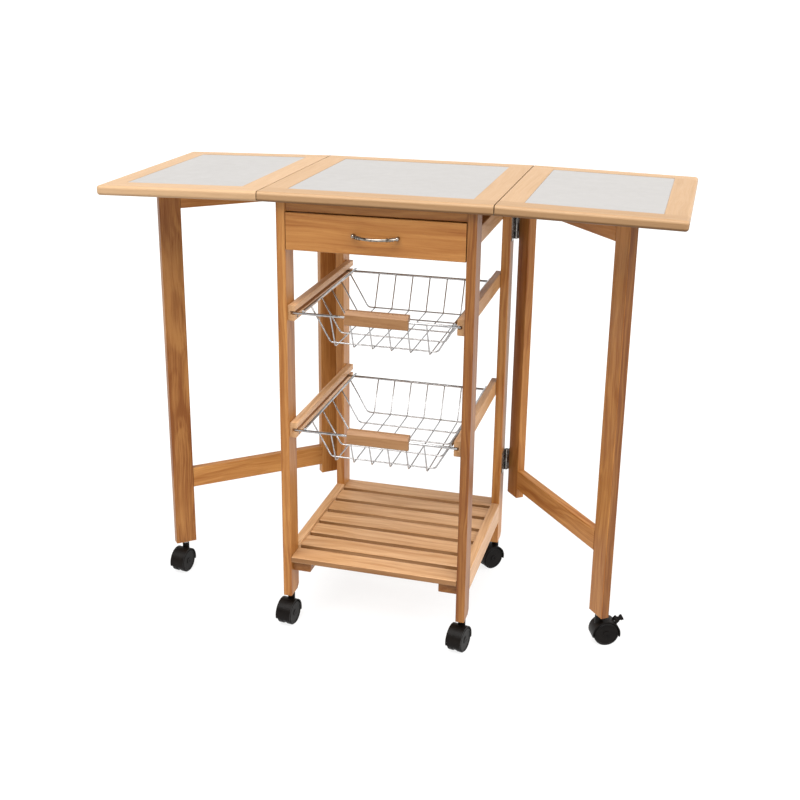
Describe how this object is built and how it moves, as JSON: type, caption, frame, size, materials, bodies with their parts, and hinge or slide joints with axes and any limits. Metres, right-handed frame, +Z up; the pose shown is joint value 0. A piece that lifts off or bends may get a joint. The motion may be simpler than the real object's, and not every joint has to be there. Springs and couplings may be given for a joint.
{
  "type": "drop-leaf kitchen cart",
  "caption": "Wooden drop-leaf kitchen cart on casters with tiled worktop and leaves, swing-out gate legs, a drawer, sliding wire baskets and a slatted shelf.",
  "frame": {"origin": "centre of the bounding box's base, on the floor", "axes": "+X along the worktop to the right, +Y to the back, +Z up"},
  "size_m": [0.9222, 0.3837, 0.76],
  "materials": {
    "pine": "satin lacquer",
    "board": "plain board",
    "tile": "glazed",
    "chrome": "polished",
    "steel": "zinc plated",
    "black_plastic": "satin",
    "wheel": "semi-gloss"
  },
  "bodies": {
    "frame": {"leg_front_left": "pine", "leg_front_right": "pine", "leg_rear_left": "pine", "leg_rear_right": "pine", "top_frame_rails": "pine", "front_apron": "pine", "back_apron": "pine", "drawer_runners": "pine", "basket_rails_upper": "pine", "basket_rails_lower": "pine", "shelf_side_rails": "pine", "shelf_slats": "pine", "shelf_bearers": "pine", "top_tile": "tile", "top_backing_board": "board", "gate_hinge_frame_leaves": "steel", "leaf_hinge_frame_leaves": "steel", "caster_stems_frame": "steel", "frame_screws": "steel"},
    "drawer": {"drawer_front": "pine", "drawer_sides": "pine", "drawer_back": "pine", "drawer_bottom": "board", "drawer_handle": "chrome"},
    "upper_basket": {"upper_basket_wires": "chrome", "upper_basket_grip": "pine"},
    "lower_basket": {"lower_basket_wires": "chrome", "lower_basket_grip": "pine"},
    "leaf_left": {"leaf_left_frame_rails": "pine", "leaf_left_tile": "tile", "leaf_left_backing_board": "board", "leaf_left_hinge_plates": "steel"},
    "leaf_right": {"leaf_right_frame_rails": "pine", "leaf_right_tile": "tile", "leaf_right_backing_board": "board", "leaf_right_hinge_plates": "steel"},
    "gate_left": {"gate_left_leg": "pine", "gate_left_stile": "pine", "gate_left_rails": "pine", "gate_left_hinge_plates": "steel", "gate_left_caster_stem": "steel"},
    "gate_right": {"gate_right_leg": "pine", "gate_right_stile": "pine", "gate_right_rails": "pine", "gate_right_hinge_plates": "steel", "gate_right_caster_stem": "steel"},
    "caster_front_left": {"caster_front_left_housing": "black_plastic"},
    "wheels_front_left": {"caster_front_left_wheels": "wheel"},
    "caster_front_right": {"caster_front_right_housing": "black_plastic"},
    "wheels_front_right": {"caster_front_right_wheels": "wheel"},
    "caster_rear_left": {"caster_rear_left_housing": "black_plastic"},
    "wheels_rear_left": {"caster_rear_left_wheels": "wheel"},
    "caster_rear_right": {"caster_rear_right_housing": "black_plastic"},
    "wheels_rear_right": {"caster_rear_right_wheels": "wheel"},
    "caster_gate_left": {"caster_gate_left_housing": "black_plastic"},
    "wheels_gate_left": {"caster_gate_left_wheels": "wheel"},
    "caster_gate_right": {"caster_gate_right_housing": "black_plastic"},
    "wheels_gate_right": {"caster_gate_right_wheels": "wheel"},
    "brake_lever": {"caster_brake_lever": "black_plastic"}
  },
  "joints": [
    {"name": "drawer_slide", "type": "slide", "parent": "frame", "child": "drawer", "axis": [0, -1, 0], "range_m": [0, 0.23]},
    {"name": "upper_basket_slide", "type": "slide", "parent": "frame", "child": "upper_basket", "axis": [0, -1, 0], "range_m": [0, 0.2]},
    {"name": "lower_basket_slide", "type": "slide", "parent": "frame", "child": "lower_basket", "axis": [0, -1, 0], "range_m": [0, 0.2]},
    {"name": "leaf_left_hinge", "type": "hinge", "parent": "frame", "child": "leaf_left", "pos_m": [-0.1852, 0.00425, 0.744], "axis": [0, 1, 0], "range_deg": [0, 4]},
    {"name": "leaf_right_hinge", "type": "hinge", "parent": "frame", "child": "leaf_right", "pos_m": [0.1852, 0.00425, 0.744], "axis": [0, -1, 0], "range_deg": [0, 4]},
    {"name": "gate_left_swing", "type": "hinge", "parent": "frame", "child": "gate_left", "pos_m": [-0.1632, 0.16455, 0.4445], "axis": [0, 0, -1], "range_deg": [-36, 6]},
    {"name": "gate_right_swing", "type": "hinge", "parent": "frame", "child": "gate_right", "pos_m": [0.1632, 0.16455, 0.4445], "axis": [0, 0, 1], "range_deg": [-26, 6]},
    {"name": "caster_front_left_swivel", "type": "hinge", "parent": "frame", "child": "caster_front_left", "pos_m": [-0.1515, -0.15075, 0.044], "axis": [0, 0, 1], "continuous": true},
    {"name": "caster_front_left_roll", "type": "hinge", "parent": "caster_front_left", "child": "wheels_front_left", "pos_m": [-0.15296, -0.16266, 0.0213], "axis": [0.9925, -0.1219, 0], "continuous": true},
    {"name": "caster_front_right_swivel", "type": "hinge", "parent": "frame", "child": "caster_front_right", "pos_m": [0.1515, -0.15075, 0.044], "axis": [0, 0, 1], "continuous": true},
    {"name": "caster_front_right_roll", "type": "hinge", "parent": "caster_front_right", "child": "wheels_front_right", "pos_m": [0.14901, -0.16249, 0.0213], "axis": [0.9781, -0.2079, 0], "continuous": true},
    {"name": "caster_rear_left_swivel", "type": "hinge", "parent": "frame", "child": "caster_rear_left", "pos_m": [-0.1515, 0.14925, 0.044], "axis": [0, 0, 1], "continuous": true},
    {"name": "caster_rear_left_roll", "type": "hinge", "parent": "caster_rear_left", "child": "wheels_rear_left", "pos_m": [-0.15358, 0.13743, 0.0213], "axis": [0.9848, -0.1736, 0], "continuous": true},
    {"name": "caster_rear_right_swivel", "type": "hinge", "parent": "frame", "child": "caster_rear_right", "pos_m": [0.1515, 0.14925, 0.044], "axis": [0, 0, 1], "continuous": true},
    {"name": "caster_rear_right_roll", "type": "hinge", "parent": "caster_rear_right", "child": "wheels_rear_right", "pos_m": [0.14347, 0.14033, 0.0213], "axis": [0.7431, -0.6691, 0], "continuous": true},
    {"name": "caster_gate_left_swivel", "type": "hinge", "parent": "gate_left", "child": "caster_gate_left", "pos_m": [-0.4071, -0.03197, 0.044], "axis": [0, 0, 1], "continuous": true},
    {"name": "caster_gate_left_roll", "type": "hinge", "parent": "caster_gate_left", "child": "wheels_gate_left", "pos_m": [-0.40856, -0.04388, 0.0213], "axis": [0.9925, -0.1219, 0], "continuous": true},
    {"name": "caster_gate_right_swivel", "type": "hinge", "parent": "gate_right", "child": "caster_gate_right", "pos_m": [0.36927, -0.07133, 0.044], "axis": [0, 0, 1], "continuous": true},
    {"name": "caster_gate_right_roll", "type": "hinge", "parent": "caster_gate_right", "child": "wheels_gate_right", "pos_m": [0.3804, -0.06684, 0.0213], "axis": [-0.3746, 0.9272, 0], "continuous": true},
    {"name": "brake_lever_press", "type": "hinge", "parent": "caster_gate_right", "child": "brake_lever", "pos_m": [0.39746, -0.05995, 0.04174], "axis": [-0.3746, 0.9272, 0], "range_deg": [0, 20]}
  ]
}
